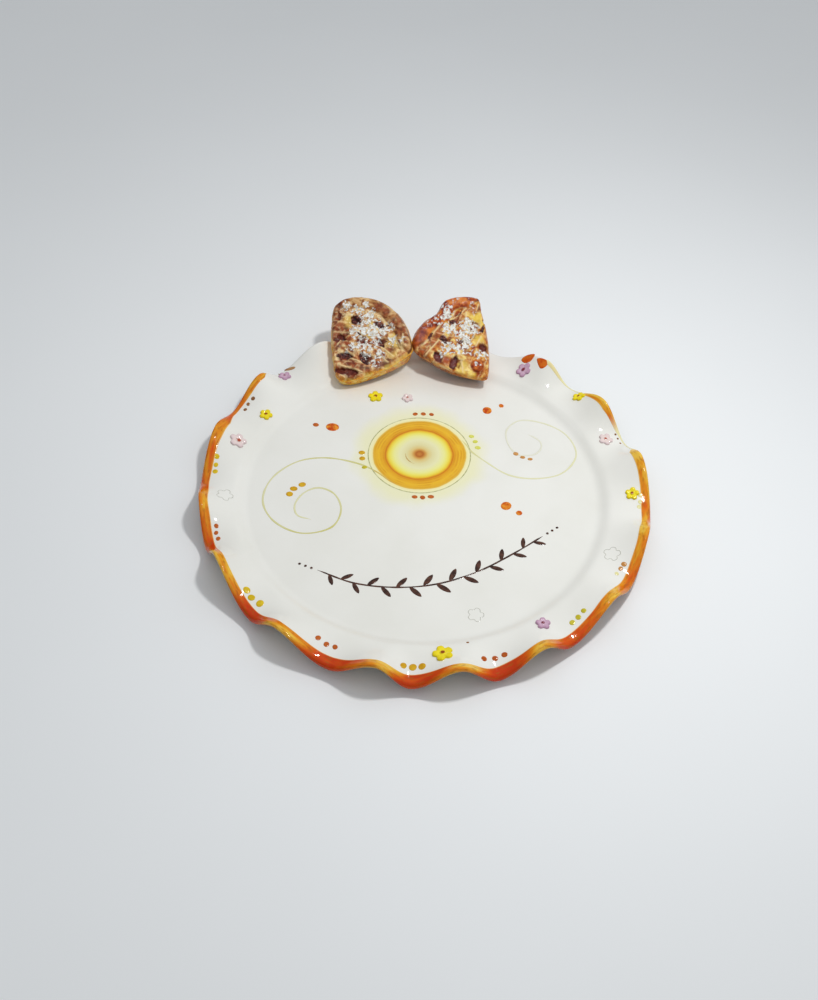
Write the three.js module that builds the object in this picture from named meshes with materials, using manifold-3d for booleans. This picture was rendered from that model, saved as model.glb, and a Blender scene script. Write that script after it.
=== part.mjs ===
// A round glazed ceramic serving plate with a hand-fluted edge. Two ceramic slices of lattice tart sit
// side by side on the back of its rim, and small five-petalled relief flowers are scattered over it.
//
// Millimetres and degrees. +Z is up, +Y points to the back, where the slices are, and the origin is
// the centre of the flat foot, on the table.
import * as THREE from 'three';
import { mergeVertices } from 'three/addons/utils/BufferGeometryUtils.js';
import Module from 'manifold-3d';

const { Manifold, Mesh: SolidMesh } = await loadManifold();

// Driving dimensions of the plate.
const PLATE_RADIUS = 180;
const CLAY = 5.5; // wall thickness of the well
const RIM_CLAY = 4.8; // wall thickness of the rim
const FOOT_RADIUS = 100;
const FOOT_HEIGHT = 2.5;
const WELL_TOP = FOOT_HEIGHT + CLAY;
const WELL_RADIUS = 141;
const COVE_WIDTH = 9; // the step from the well up to the rim
const COVE_RISE = 4.8;
const EDGE_RISE = 12; // mean height of the edge over the well
const SECTORS = 144;

// The fluted edge: waves pushed up and down by hand, so no two are alike. FLUTES has their crests and
// troughs in turn, as the bearing and the height over the mean edge as a share of FLUTE_HEIGHT.
const FLUTE_START = 148; // the radius from which the rim begins to wave
const FLUTE_HEIGHT = 9;
const CREST_PULL = 1.9; // a crest stands this much nearer to the centre than a trough
const FLUTES = [
  [8, 1.1], [19, -1.1], [30, 1.3], [43, -0.8], [52, 1.3], [68, -1], [81, 1], [91, -1],
  [100, 1], [110, -1], [121, 1], [134, -1], [142, 0.9], [153, -0.8], [164, 0.8], [179, -1],
  [190, 1], [201, -1], [210, 1.3], [226, -0.9], [235, 0.9], [249, -0.8], [260, 1.1], [268, -1],
  [279, 1], [288, -1.1], [299, 0.85], [307, -0.85], [321, 0.7], [330, -0.9], [343, 0.95], [352, -0.8],
];
const OVAL = 2.5; // the rim is this much out of round as an oval, and EGG as a rounded triangle
const OVAL_ANGLE = 134;
const EGG = 1.7;
const EGG_ANGLE = 8;

// The slices. A slice has its own frame: its tip at the origin, U towards its crust, V to its left,
// W up from the lattice's top. tip is where that origin stands over the well. Each outline goes
// round from the tip along the left cut side, over the crust and back along the right cut side.
// thickness is at the tip and at the crust, and footing is the underside's size as a share of the top's.
const LATTICE_DEPTH = 3.3; // from the strips' top down to the filling between them
const STRIP_WIDTH = 10;
const CRUST_ROLL_WIDTH = 13;
const CRUST_ROLL_HEIGHT = 6;
const CRUST_SHARE = 0.865; // the strips end, and the crust begins, this far from the tip to the outline
const SLICES = [
  {
    name: 'slice_left',
    tip: [-75, 111, 14],
    heading: 64,
    leanTowards: 84,
    tilt: 20,
    thickness: [15, 21],
    footing: 0.97,
    outline: [[4, 0], [6, 5], [29, 21], [47, 31], [66, 38], [78, 31], [86, 15], [87, -3],
      [79, -23], [66, -37], [56, -43], [42, -37], [18, -19], [6, -6]],
    crust: [4, 10], // outline points that the crust runs between
    latticeHole: [46, 0],
    latticeSteps: [[-21, 5], [5, -17.5]], // from one hole of the lattice to the next, both ways
  },
  {
    name: 'slice_right',
    tip: [55, 119, 14],
    heading: 126,
    leanTowards: 96,
    tilt: 22,
    thickness: [14, 20],
    footing: 0.86,
    outline: [[1, 0], [5, 6], [24, 22], [47, 33], [61, 37], [70, 29], [76, 14], [77, 0],
      [83, -12], [79, -27], [68, -39], [56, -34], [38, -26], [20, -16], [5, -5]],
    crust: [4, 10],
    latticeHole: [50, 8],
    latticeSteps: [[13, 11.5], [11, -16]],
  },
];
const ROSETTE = { slice: 'slice_right', at: [15, 0], radius: 6, height: 5.5 };

// The relief flowers: where each stands on the plate, its colour and how far across it is.
const FLOWER_RELIEF = 2.4;
const FLOWER_COLOURS = { yellow: '#e3c81e', lilac: '#b9a3c4', pink: '#dfb3b0' };
const FLOWERS = [
  ['yellow', 16, -157, 15],
  ['lilac', 88, -129, 11],
  ['yellow', 167, -5, 11],
  ['pink', 153, 57, 12],
  ['yellow', 134, 103, 10.5],
  ['lilac', 88, 135, 12.5],
  ['pink', -14, 106, 10],
  ['yellow', -42, 107, 13],
  ['lilac', -123, 125, 11.5],
  ['yellow', -134, 76, 11],
  ['pink', -153, 42, 13.5],
];

const GAP = 0.3; // between pieces that touch
const GLAZE_WHITE = '#e9e8e2';
const BAKED = { wall: '#c9913a', crust: '#a8683a', strips: '#b9803f', rosette: '#a5653f' };

const radians = THREE.MathUtils.degToRad;

async function loadManifold() {
  const library = await Module();
  library.setup();
  return library;
}

/** A closed three.js geometry as a solid that can be joined and cut. */
function toSolid(geometry) {
  const bare = geometry.index ? geometry.toNonIndexed() : geometry.clone();
  for (const name of ['normal', 'uv']) bare.deleteAttribute(name);
  const merged = mergeVertices(bare, 1e-4);
  const corners = [...merged.index.array];
  const kept = [];
  for (let i = 0; i < corners.length; i += 3) {
    const [a, b, c] = corners.slice(i, i + 3);
    if (a !== b && b !== c && c !== a) kept.push(a, b, c);
  }
  return new Manifold(new SolidMesh({
    numProp: 3,
    vertProperties: new Float32Array(merged.attributes.position.array),
    triVerts: new Uint32Array(kept),
  }));
}

/** The largest body of a solid as a geometry. Cutting can leave loose scraps, which are dropped. */
function toGeometry(solid) {
  const [body] = solid.decompose().sort((a, b) => b.volume() - a.volume());
  const { vertProperties, triVerts } = body.getMesh();
  const geometry = new THREE.BufferGeometry();
  geometry.setAttribute('position', new THREE.BufferAttribute(new Float32Array(vertProperties), 3));
  geometry.setIndex([...triVerts]);
  geometry.computeVertexNormals();
  return geometry;
}

function glazed(name, geometry, color, roughness = 0.2) {
  const mesh = new THREE.Mesh(geometry, new THREE.MeshStandardMaterial({ color, roughness, metalness: 0 }));
  mesh.name = name;
  return mesh;
}

/** The height of the fluted edge as a share of FLUTE_HEIGHT, eased from each turning point to the next. */
function flute(angle) {
  const [first, height] = FLUTES[0];
  const turned = THREE.MathUtils.euclideanModulo(angle - first, 360) + first;
  const points = [...FLUTES, [first + 360, height]];
  const next = points.findIndex(([bearing]) => bearing > turned);
  const [[from, low], [to, high]] = [points[next - 1], points[next]];
  const eased = 0.5 - 0.5 * Math.cos((Math.PI * (turned - from)) / (to - from));
  return THREE.MathUtils.lerp(low, high, eased);
}

/** How far the edge reaches out over PLATE_RADIUS at a bearing. */
function edgeReach(angle, wave) {
  const oval = OVAL * Math.cos(radians(2 * (angle - OVAL_ANGLE)));
  const egg = EGG * Math.cos(radians(3 * (angle - EGG_ANGLE)));
  return oval + egg - CREST_PULL * (0.5 + 0.5 * wave);
}

/** Moves every vertex of a round plate with the waves of its rim. */
function fluteGeometry(geometry) {
  const position = geometry.attributes.position;
  for (let i = 0; i < position.count; i++) {
    const [x, y, z] = [position.getX(i), position.getY(i), position.getZ(i)];
    const radius = Math.hypot(x, y);
    const share = THREE.MathUtils.clamp((radius - FLUTE_START) / (PLATE_RADIUS - FLUTE_START), 0, 1);
    if (share === 0) continue;
    const angle = THREE.MathUtils.radToDeg(Math.atan2(y, x));
    const wave = flute(angle);
    const stretch = 1 + (share * edgeReach(angle, wave)) / radius;
    position.setXYZ(i, x * stretch, y * stretch, z + FLUTE_HEIGHT * wave * share ** 1.6);
  }
  return geometry;
}

/** The plate's upper surface from its centre to its lip, as [radius, height]. */
function topProfile() {
  const profile = [[0, WELL_TOP], [70, WELL_TOP], [112, WELL_TOP], [WELL_RADIUS, WELL_TOP]];
  for (const t of [0.25, 0.5, 0.75, 1]) {
    profile.push([WELL_RADIUS + COVE_WIDTH * t, WELL_TOP + COVE_RISE * THREE.MathUtils.smoothstep(t, 0, 1)]);
  }
  const [start, rise] = [WELL_RADIUS + COVE_WIDTH, EDGE_RISE - COVE_RISE];
  for (const t of [0.2, 0.4, 0.6, 0.8, 0.92]) {
    profile.push([start + (PLATE_RADIUS - start) * t, WELL_TOP + COVE_RISE + rise * t]);
  }
  return profile;
}

/** A lathed solid, stood up along +Z, from a profile that starts on the axis below and ends above. */
function lathe(profile, sectors) {
  const points = profile.map(([radius, height]) => new THREE.Vector2(radius, height));
  return new THREE.LatheGeometry(points, sectors).rotateX(Math.PI / 2);
}

/** Points round the rounded lip at some angles from level, grown by a margin. */
function lipProfile(angles, margin = 0) {
  const radius = RIM_CLAY / 2;
  const [x, z] = [PLATE_RADIUS - radius, WELL_TOP + EDGE_RISE - radius];
  const grown = radius + margin;
  return angles.map((angle) => [x + grown * Math.cos(radians(angle)), z + grown * Math.sin(radians(angle))]);
}

function plateGeometry() {
  const under = [
    [PLATE_RADIUS - 4, WELL_TOP + EDGE_RISE - RIM_CLAY - 0.4],
    [PLATE_RADIUS - 13, WELL_TOP + EDGE_RISE - RIM_CLAY - 2.4],
    [WELL_RADIUS + COVE_WIDTH + 3, WELL_TOP + COVE_RISE - RIM_CLAY],
    [WELL_RADIUS + COVE_WIDTH / 2 + 2, FOOT_HEIGHT + COVE_RISE / 2],
    [WELL_RADIUS + 1, FOOT_HEIGHT],
    [FOOT_RADIUS + 3, FOOT_HEIGHT],
    [FOOT_RADIUS, 0],
    [0, 0],
  ];
  const profile = [...topProfile(), ...lipProfile([60, 20, -20, -60]), ...under];
  return fluteGeometry(lathe(profile.reverse(), SECTORS));
}

/** Everything below the plate's upper surface, and GAP above it, to cut what sits on the plate. */
function plateBelow() {
  const depth = -60;
  const raised = topProfile().map(([radius, height]) => [radius, height + GAP]);
  const profile = [...raised, ...lipProfile([60, 20], GAP), [PLATE_RADIUS + GAP, depth], [0, depth]];
  return fluteGeometry(lathe(profile.reverse(), SECTORS));
}

/** What is left of a solid in a group's frame once the plate that it stands on is cut away. */
function standOnPlate(solid, group, below) {
  group.updateMatrixWorld(true);
  const cutter = below.clone().applyMatrix4(group.matrixWorld.clone().invert());
  return solid.subtract(toSolid(cutter));
}

/** A slice's outline as a closed smooth curve in its own frame. */
function sliceCurve(slice) {
  const points = slice.outline.map(([u, v]) => new THREE.Vector3(u, v, 0));
  return new THREE.CatmullRomCurve3(points, true, 'centripetal');
}

/** The slice's outline, shrunk towards its tip, as an upright prism between two heights. */
function slicePrism(slice, low, high, share = 1) {
  const shape = new THREE.Shape(sliceCurve(slice).getPoints(44).map((p) => new THREE.Vector2(p.x, p.y)));
  const geometry = new THREE.ExtrudeGeometry(shape, { depth: high - low, bevelEnabled: false });
  return geometry.translate(0, 0, low).scale(share, share, 1);
}

/** The body of a slice up to the filling between its strips, thicker towards the crust. */
function sliceBase(slice) {
  const [tipThickness, crustThickness] = slice.thickness;
  const geometry = slicePrism(slice, -crustThickness, -LATTICE_DEPTH);
  const position = geometry.attributes.position;
  const length = Math.max(...slice.outline.map(([u]) => u));
  const middle = length / 2;
  for (let i = 0; i < position.count; i++) {
    if (position.getZ(i) > -tipThickness) continue;
    const u = middle + (position.getX(i) - middle) * slice.footing;
    const thickness = THREE.MathUtils.lerp(tipThickness, crustThickness, u / length);
    position.setXYZ(i, u, position.getY(i) * slice.footing, -thickness);
  }
  return geometry;
}

/** The rolled crust, an oval roll along the outline's far edge, resting on the slice's body. */
function crustSolid(slice) {
  const curve = sliceCurve(slice);
  const [first, last] = slice.crust;
  const [steps, middle] = [16, (1 + CRUST_SHARE) / 2];
  const path = Array.from({ length: steps + 1 }, (_, i) => (
    curve.getPoint((first + ((last - first) * i) / steps) / slice.outline.length).multiplyScalar(middle)));
  const section = new THREE.Shape();
  section.absellipse(0, 0, CRUST_ROLL_HEIGHT / 2, CRUST_ROLL_WIDTH / 2, 0, 2 * Math.PI);
  const roll = new THREE.ExtrudeGeometry(section, {
    steps, curveSegments: 10, extrudePath: new THREE.CatmullRomCurve3(path) });
  const floor = -LATTICE_DEPTH + GAP;
  const room = toSolid(slicePrism(slice, floor, CRUST_ROLL_HEIGHT));
  const clear = CRUST_SHARE + GAP / Math.max(...slice.outline.map(([u]) => u));
  const latticeRoom = toSolid(slicePrism(slice, floor - 1, CRUST_ROLL_HEIGHT, clear));
  return toSolid(roll).intersect(room).subtract(latticeRoom);
}

/** One straight strip of the lattice through a point, along a direction, with a rounded back. */
function strip([u, v], [du, dv]) {
  const half = STRIP_WIDTH / 2;
  const floor = -LATTICE_DEPTH + GAP;
  const section = new THREE.Shape();
  section.moveTo(-half, floor);
  section.lineTo(half, floor);
  section.lineTo(half * 0.9, floor / 3);
  section.lineTo(half * 0.4, 0);
  section.lineTo(-half * 0.4, 0);
  section.lineTo(-half * 0.9, floor / 3);
  section.closePath();
  const length = 200;
  const geometry = new THREE.ExtrudeGeometry(section, { depth: length, bevelEnabled: false });
  geometry.translate(0, 0, -length / 2).rotateX(Math.PI / 2);
  return geometry.rotateZ(Math.atan2(dv, du) + Math.PI / 2).translate(u, v, 0);
}

/** The crossing strips, joined, kept inside the outline and short of the crust. */
function latticeSolid(slice) {
  const [[au, av], [bu, bv]] = slice.latticeSteps;
  const [u, v] = slice.latticeHole;
  let joined = null;
  for (let i = -3; i <= 3; i++) {
    const k = i + 0.5;
    const upper = strip([u + k * au, v + k * av], [bu, bv]);
    const lower = strip([u + k * bu, v + k * bv], [au, av]);
    for (const bar of [upper, lower]) {
      const solid = toSolid(bar);
      joined = joined ? joined.add(solid) : solid;
    }
  }
  return joined.intersect(toSolid(slicePrism(slice, -LATTICE_DEPTH, 1, CRUST_SHARE)));
}

/** A small sugared button with a dimpled middle, grown by a margin. */
function rosetteGeometry(margin = 0) {
  const { radius, height, at: [u, v] } = ROSETTE;
  const floor = -LATTICE_DEPTH + GAP - margin;
  const profile = [
    [0, floor], [radius + margin, floor], [radius + margin, floor + height * 0.5],
    [radius * 0.75, floor + height], [radius * 0.4, floor + height], [0, floor + height * 0.8]];
  return lathe(profile, 14).translate(u, v, 0);
}

function sliceGroup(slice, below) {
  const group = new THREE.Group();
  const lean = new THREE.Group();
  const turn = new THREE.Group();
  group.position.set(slice.tip[0], slice.tip[1], WELL_TOP + slice.tip[2]);
  group.rotation.z = radians(slice.leanTowards);
  lean.rotation.y = -radians(slice.tilt);
  turn.rotation.z = radians(slice.heading - slice.leanTowards);
  group.add(lean);
  lean.add(turn);
  group.updateMatrixWorld(true);

  const base = standOnPlate(toSolid(sliceBase(slice)), turn, below);
  let lattice = latticeSolid(slice);
  if (ROSETTE.slice === slice.name) {
    lattice = lattice.subtract(toSolid(rosetteGeometry(GAP)));
    turn.add(glazed(`${slice.name}_rosette`, rosetteGeometry(), BAKED.rosette, 0.3));
  }
  turn.add(glazed(`${slice.name}_base`, toGeometry(base), BAKED.wall, 0.25));
  turn.add(glazed(`${slice.name}_crust`, toGeometry(crustSolid(slice)), BAKED.crust, 0.25));
  turn.add(glazed(`${slice.name}_lattice`, toGeometry(lattice), BAKED.strips, 0.25));
  return group;
}

/** The height of the plate's upper surface at a place, between the profile's points. */
function surfaceHeight(x, y) {
  const radius = Math.hypot(x, y);
  const profile = topProfile();
  const found = profile.findIndex(([r]) => r > radius);
  const next = found < 0 ? profile.length - 1 : found;
  const [[r0, z0], [r1, z1]] = [profile[next - 1], profile[next]];
  const share = THREE.MathUtils.clamp((radius - FLUTE_START) / (PLATE_RADIUS - FLUTE_START), 0, 1);
  const wave = FLUTE_HEIGHT * flute(THREE.MathUtils.radToDeg(Math.atan2(y, x))) * share ** 1.6;
  return THREE.MathUtils.mapLinear(radius, r0, r1, z0, z1) + wave;
}

/** Five rounded petals round a raised button, reaching below the surface that they are cut to. */
function flowerGeometry(across) {
  const [petals, steps] = [5, 4];
  const radius = across / 2;
  const rings = [[0, 0.95], [0.2, 0.9], [0.3, 0.6], [0.68, 0.95], [1, 0.45], [1, -0.9], [0, -0.9]];
  const profile = rings.map(([r, h]) => [r * radius, h * FLOWER_RELIEF]).reverse();
  const geometry = lathe(profile, petals * steps);
  const position = geometry.attributes.position;
  for (let i = 0; i < position.count; i++) {
    const [x, y] = [position.getX(i), position.getY(i)];
    const reach = Math.hypot(x, y) / radius;
    const notch = 0.5 - 0.5 * Math.cos(petals * Math.atan2(y, x));
    const scale = 1 - 0.34 * notch ** 2 * reach;
    position.setX(i, x * scale);
    position.setY(i, y * scale);
  }
  return geometry;
}

function flowerGroup([colour, x, y, across], index, below) {
  const step = across / 2;
  const slopeX = surfaceHeight(x + step, y) - surfaceHeight(x - step, y);
  const slopeY = surfaceHeight(x, y + step) - surfaceHeight(x, y - step);
  const normal = new THREE.Vector3(-slopeX, -slopeY, 2 * step).normalize();
  const group = new THREE.Group();
  group.position.set(x, y, surfaceHeight(x, y));
  group.quaternion.setFromUnitVectors(new THREE.Vector3(0, 0, 1), normal);
  const flower = toGeometry(standOnPlate(toSolid(flowerGeometry(across)), group, below));
  group.add(glazed(`flower_${index + 1}_${colour}`, flower, FLOWER_COLOURS[colour]));
  return group;
}

function servingPlate() {
  const model = new THREE.Group();
  const below = plateBelow();
  model.add(glazed('plate', plateGeometry(), GLAZE_WHITE, 0.12));
  for (const slice of SLICES) model.add(sliceGroup(slice, below));
  FLOWERS.forEach((flower, index) => model.add(flowerGroup(flower, index, below)));
  return model;
}

export default servingPlate();
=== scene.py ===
"""A round glazed ceramic serving plate with a fluted edge painted orange, relief flowers, painted dots
and scrolls, and two glazed ceramic slices of lattice tart on the back of its rim.

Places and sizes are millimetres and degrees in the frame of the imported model: +Z up, +Y towards the
back, origin at the centre of the flat foot. add_piece() turns them into metres.
"""
from math import atan, cos, exp, pi, radians, sin

import bpy
import numpy as np
from mathutils import Matrix, Vector


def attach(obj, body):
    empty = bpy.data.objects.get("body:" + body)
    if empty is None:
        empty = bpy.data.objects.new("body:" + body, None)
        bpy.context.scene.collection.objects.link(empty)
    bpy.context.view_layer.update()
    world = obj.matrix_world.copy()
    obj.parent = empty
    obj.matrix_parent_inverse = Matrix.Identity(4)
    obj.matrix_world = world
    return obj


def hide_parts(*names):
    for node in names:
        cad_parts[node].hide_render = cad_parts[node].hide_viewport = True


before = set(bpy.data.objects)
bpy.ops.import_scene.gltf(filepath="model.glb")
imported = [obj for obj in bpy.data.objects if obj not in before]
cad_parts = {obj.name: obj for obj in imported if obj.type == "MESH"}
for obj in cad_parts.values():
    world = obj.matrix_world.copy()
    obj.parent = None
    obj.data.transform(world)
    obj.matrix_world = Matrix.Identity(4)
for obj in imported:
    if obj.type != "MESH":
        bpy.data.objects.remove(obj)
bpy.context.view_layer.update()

MM = 0.001
ROOT = "root"

# The plate, with the same driving dimensions as its solid.
PLATE_RADIUS = 180
RIM_CLAY = 4.8
FOOT_RADIUS = 100
FOOT_HEIGHT = 2.5
WELL_TOP = 8
WELL_RADIUS = 141
COVE_WIDTH = 9
COVE_RISE = 4.8
EDGE_RISE = 12
FLUTE_START = 148
FLUTE_HEIGHT = 9
CREST_PULL = 1.9
FLUTES = [
    (8, 1.1), (19, -1.1), (30, 1.3), (43, -0.8), (52, 1.3), (68, -1), (81, 1), (91, -1),
    (100, 1), (110, -1), (121, 1), (134, -1), (142, 0.9), (153, -0.8), (164, 0.8), (179, -1),
    (190, 1), (201, -1), (210, 1.3), (226, -0.9), (235, 0.9), (249, -0.8), (260, 1.1), (268, -1),
    (279, 1), (288, -1.1), (299, 0.85), (307, -0.85), (321, 0.7), (330, -0.9), (343, 0.95), (352, -0.8),
]
OVAL = 2.5
OVAL_ANGLE = 134
EGG = 1.7
EGG_ANGLE = 8
RIM_START = WELL_RADIUS + COVE_WIDTH
RIM_SLOPE = (EDGE_RISE - COVE_RISE) / (PLATE_RADIUS - RIM_START)

# The slices: tip, headings and outline as in their solids. A slice's own frame has U towards its
# crust, V to its left and W up from the strips' top. thickness is at the tip and at the crust, and
# footing is the underside's size as a share of the outline. crust tells between which points of the
# outline the crust runs. hole is the middle of one gap, steps lead from it to the next ones, and middle
# is a place well inside. The gaps between the strips are (u, v, length, width, heading), sugar, honey
# and toast are patches (u, v, radius) or (u, v, radius, strength), and creases join two places. Some
# sugar patches on the crusts are painted highlights, white glints of light on the glaze.
LATTICE_DEPTH = 3.3
STRIP_WIDTH = 10
CRUST_WIDTH = 12.5
SHOULDER = 2.6
CREASE_WIDTH = 0.75
# For the strips laid over and those laid below: the level of their edges, and how far they rise.
OVER_STRIP = (-1.6, 1.8)
BELOW_STRIP = (-1.9, 1.5)
STRIP_ROUNDING = 2.6
# How far coarse and fine noise shift the marks, how far the wall swells, and how deep the slice sinks.
WARP, FINE_WARP = 1.4, 1.2
WALL_LIP, WALL_BELLY = 1.1, 0.5
SINK = 0.8
SLICE_AROUND = 460
TOP_ROWS, WALL_ROWS, BOTTOM_ROWS = 96, 22, 16
SLICES = [
    {
        "name": "slice_left", "tip": (-75, 111, 14), "heading": 64, "lean_towards": 84, "tilt": 20,
        "thickness": (15, 21), "footing": 0.97, "crust": (4.2, 10.3), "crust_height": 2.6,
        "crust_lumps": 0.25, "hole": (46, 0), "steps": ((-21, 5), (5, -17.5)), "middle": (50, 0),
        "rosette": None,
        "outline": [(4, 0), (6, 5), (29, 21), (47, 31), (66, 38), (78, 31), (86, 15), (87, -3),
            (79, -23), (66, -37), (56, -43), (42, -37), (18, -19), (6, -6)],
        "gaps": [(61, 14.5, 10, 7, 80), (65.5, -6.5, 10, 5.5, 90), (50, -16, 10, 5, 60),
            (30, -10, 13, 5.5, 53), (25, 6.5, 14, 5, 113), (12, -2, 21, 6, 107), (45, 0, 7, 4, 75),
            (49.5, 5, 5, 1.6, 70), (57, 29, 6, 2.6, 40), (40, 18, 8, 6, 90), (68, -14, 5, 2, 110),
            (35, 20, 5, 3, 90)],
        "sugar_and_glints": [(69, 31, 4), (69, 25, 5), (69, 19, 6), (69, 12, 5.5), (69, 5, 5), (69, -3, 4.5, 0.8),
            (60, 6, 8), (62, -3, 6), (56, -7, 9), (54, 3, 9), (50, 11, 6), (47, 3, 9), (42, -6, 10),
            (37, 3, 6), (48, -13, 7), (66, -15, 7), (61, -11, 7), (56, -24, 7, 0.7), (40, -21, 7, 0.9),
            # Painted highlight: the last two patches below lie on the crust and are white glints of light,
            # put down as sugar.
            (31, -20, 7, 0.9), (34, -9, 6, 0.9), (77.5, 12, 4, 1.3), (74.5, 5, 3, 1.3),
            (60, -32, 6, 0.5), (29, 6, 4, 0.7), (66, 28, 6, 0.7)],
        "honey": [(63, 1, 4), (52, -5, 3.5), (58, 21, 6), (52, 18, 4), (55, -27, 9), (45, -30, 6),
            (60, -25, 6)],
        "toast": [(66, 36, 6), (60, 34, 7), (53, 31, 6), (47, 27, 7), (47, 19, 6), (40, 23, 6),
            (34, 17, 6), (29, 15, 4), (35, 9, 5), (80, 1, 6), (78, -7, 5), (73, -20, 7), (67, -29, 6),
            (60, -35, 4), (34, 3, 5), (21, 6, 4), (20, 0, 4.5), (20, -6, 4.5), (21, -12, 4.5),
            (22, -17, 4), (47, -28, 5), (38, -23, 4), (12, 4, 5), (12, -3, 6), (12, -9, 5), (45, 0, 5),
            (29, -24, 5)],
        "creases": [(49, -38, 62, -31), (36, -32, 38, -18), (31, 10, 28, -2), (15, 9, 17, -17),
            (25, 14, 25, -12), (8, 8, 13, -2), (56, -36, 66, -30), (52, -37, 60, -22),
            (42, -34, 46, -18), (40, 18, 30, 17), (60, 30, 64, 18)],
    },
    {
        "name": "slice_right", "tip": (55, 119, 14), "heading": 126, "lean_towards": 96, "tilt": 22,
        "thickness": (14, 20), "footing": 0.86, "crust": (3.8, 10.2), "crust_height": 3.3,
        "crust_lumps": 0.6, "hole": (50, 8), "steps": ((13, 11.5), (11, -16)), "middle": (46, 0),
        "rosette": (15, 0, 6),
        "outline": [(1, 0), (5, 6), (24, 22), (47, 33), (61, 37), (70, 29), (76, 14), (77, 0),
            (83, -12), (79, -27), (68, -39), (56, -34), (38, -26), (20, -16), (5, -5)],
        "gaps": [(62, 19, 7, 6, 90), (52, 9.5, 8, 6, 20), (61.5, -6.5, 7, 5, 90), (41, 24, 10, 6, 0),
            (29, 15, 12, 6.5, -51), (42, -1, 6, 3, 90), (27, -14, 8, 6, 0), (42, -25, 8, 2.5, -56),
            (48, -31, 4, 2, 0), (65.5, -15, 9, 1.2, -70)],
        "sugar_and_glints": [(57, 2, 7), (54, -4, 8), (50, -12, 10, 1.2), (46, -17, 8), (44, -6, 9, 1.2),
            (37, -4, 7), (37, 4, 7), (43, 11, 9), (42, 19, 5), (48, 12, 5), (54, -17, 6),
            # The patches below with u of 66 or more lie on the crust and are partly sugar, partly painted
            # highlights: white glints on the glaze.
            (74, -9, 8, 0.8), (69, -5, 6), (70, 5, 6, 0.8), (76, -20, 7, 0.4), (67, -29, 7, 0.45),
            (60, -30, 6, 0.4), (72, 16, 7, 0.4), (23, -8, 6), (20, -13, 4), (16, 0, 2.6, 0.8),
            (62, 1, 5), (30, -2, 6, 0.6)],
        "honey": [(53, -27, 9), (47, -30, 6), (73, 17, 5), (22, 11, 7), (18, 14, 5), (34, -15, 6),
            (55, 5, 3), (11, 8, 4)],
        "toast": [(60, 10, 4.5), (58, 15, 4.5), (56, 20, 5), (53, 25, 5), (51, 31, 6), (48, 35, 6),
            (62, -13, 6), (34, 21, 6), (41, 24, 5), (29, 16, 5), (30, 0, 4), (61, -28, 5), (62, 33, 7),
            (66, 24, 6), (42, 0, 3), (27, -14, 5), (47, -22, 3), (10, 0, 5)],
        "creases": [(66, 3, 57, 31), (59, 0, 47, 36), (53, -15, 64, -22), (36, -20, 30, -8),
            (64, -5, 66, -26), (34, 28, 20, 20), (28, 8, 15, 15), (42, -18, 36, -6)],
    },
]


# ---- shapes in numbers


def smoothstep(value):
    clipped = np.clip(value, 0, 1)
    return clipped * clipped * (3 - 2 * clipped)


def full_turn(count):
    """Angles evenly round a circle."""
    return np.linspace(0, 2 * np.pi, count, endpoint=False)


def polar(radius, angle):
    """Places in plan at distances and angles round the middle."""
    return np.column_stack([radius * np.cos(angle), radius * np.sin(angle)])


def turned(along, side, heading):
    """Steps in plan from steps along a heading and to its left."""
    c, s = cos(radians(heading)), sin(radians(heading))
    return np.column_stack([along * c - side * s, along * s + side * c])


def value_noise(points, size, seed):
    """Smooth random values from -1 to 1 that change over about size, the same for the same seed."""
    cells = 32
    grid = np.random.default_rng(seed).uniform(-1, 1, (cells, cells, cells))
    scaled = np.asarray(points, float) / size
    low = np.floor(scaled).astype(int)
    share = smoothstep(scaled - low)
    total = np.zeros(scaled.shape[:-1])
    for corner in np.ndindex(2, 2, 2):
        weight = np.prod(np.where(corner, share, 1 - share), axis=-1)
        index = (low + corner) % cells
        total += weight * grid[index[..., 0], index[..., 1], index[..., 2]]
    return total


def line_noise(places, size, seed):
    """value_noise() along a line."""
    return value_noise(places[:, None] * (1, 0, 0), size, seed)


def spline(points, count, closed=False):
    """Count points along a centripetal Catmull-Rom curve through some points in plan."""
    points = np.asarray(points, float)
    if closed:
        knots = np.vstack([points[-1:], points, points[:2]])
    else:
        knots = np.vstack([2 * points[0] - points[1], points, 2 * points[-1] - points[-2]])
    spans = len(knots) - 3
    place = np.linspace(0, spans, count, endpoint=not closed)
    start = np.minimum(place.astype(int), spans - 1)
    t = (place - start)[:, None]
    p0, p1, p2, p3 = (knots[start + i] for i in range(4))
    steps = (p1 - p0, p2 - p1, p3 - p2)
    d0, d1, d2 = (np.sqrt(np.linalg.norm(step, axis=1))[:, None] for step in steps)
    m1 = d1 * ((p1 - p0) / d0 - (p2 - p0) / (d0 + d1) + (p2 - p1) / d1)
    m2 = d1 * ((p2 - p1) / d1 - (p3 - p1) / (d1 + d2) + (p3 - p2) / d2)
    return p1 + t * (m1 + t * (3 * (p2 - p1) - 2 * m1 - m2 + t * (2 * (p1 - p2) + m1 + m2)))


def flute_wave(angle):
    """The height of the fluted edge as a share of FLUTE_HEIGHT, eased between its turning points."""
    turning, heights = np.array(FLUTES + [(FLUTES[0][0] + 360, FLUTES[0][1])], float).T
    bearing = (np.asarray(angle) - turning[0]) % 360 + turning[0]
    found = np.minimum(np.searchsorted(turning, bearing, side="right") - 1, len(turning) - 2)
    share = (bearing - turning[found]) / (turning[found + 1] - turning[found])
    return heights[found] + (heights[found + 1] - heights[found]) * (0.5 - 0.5 * np.cos(np.pi * share))


def rim_share(radius):
    return np.clip((radius - FLUTE_START) / (PLATE_RADIUS - FLUTE_START), 0, 1)


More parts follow.
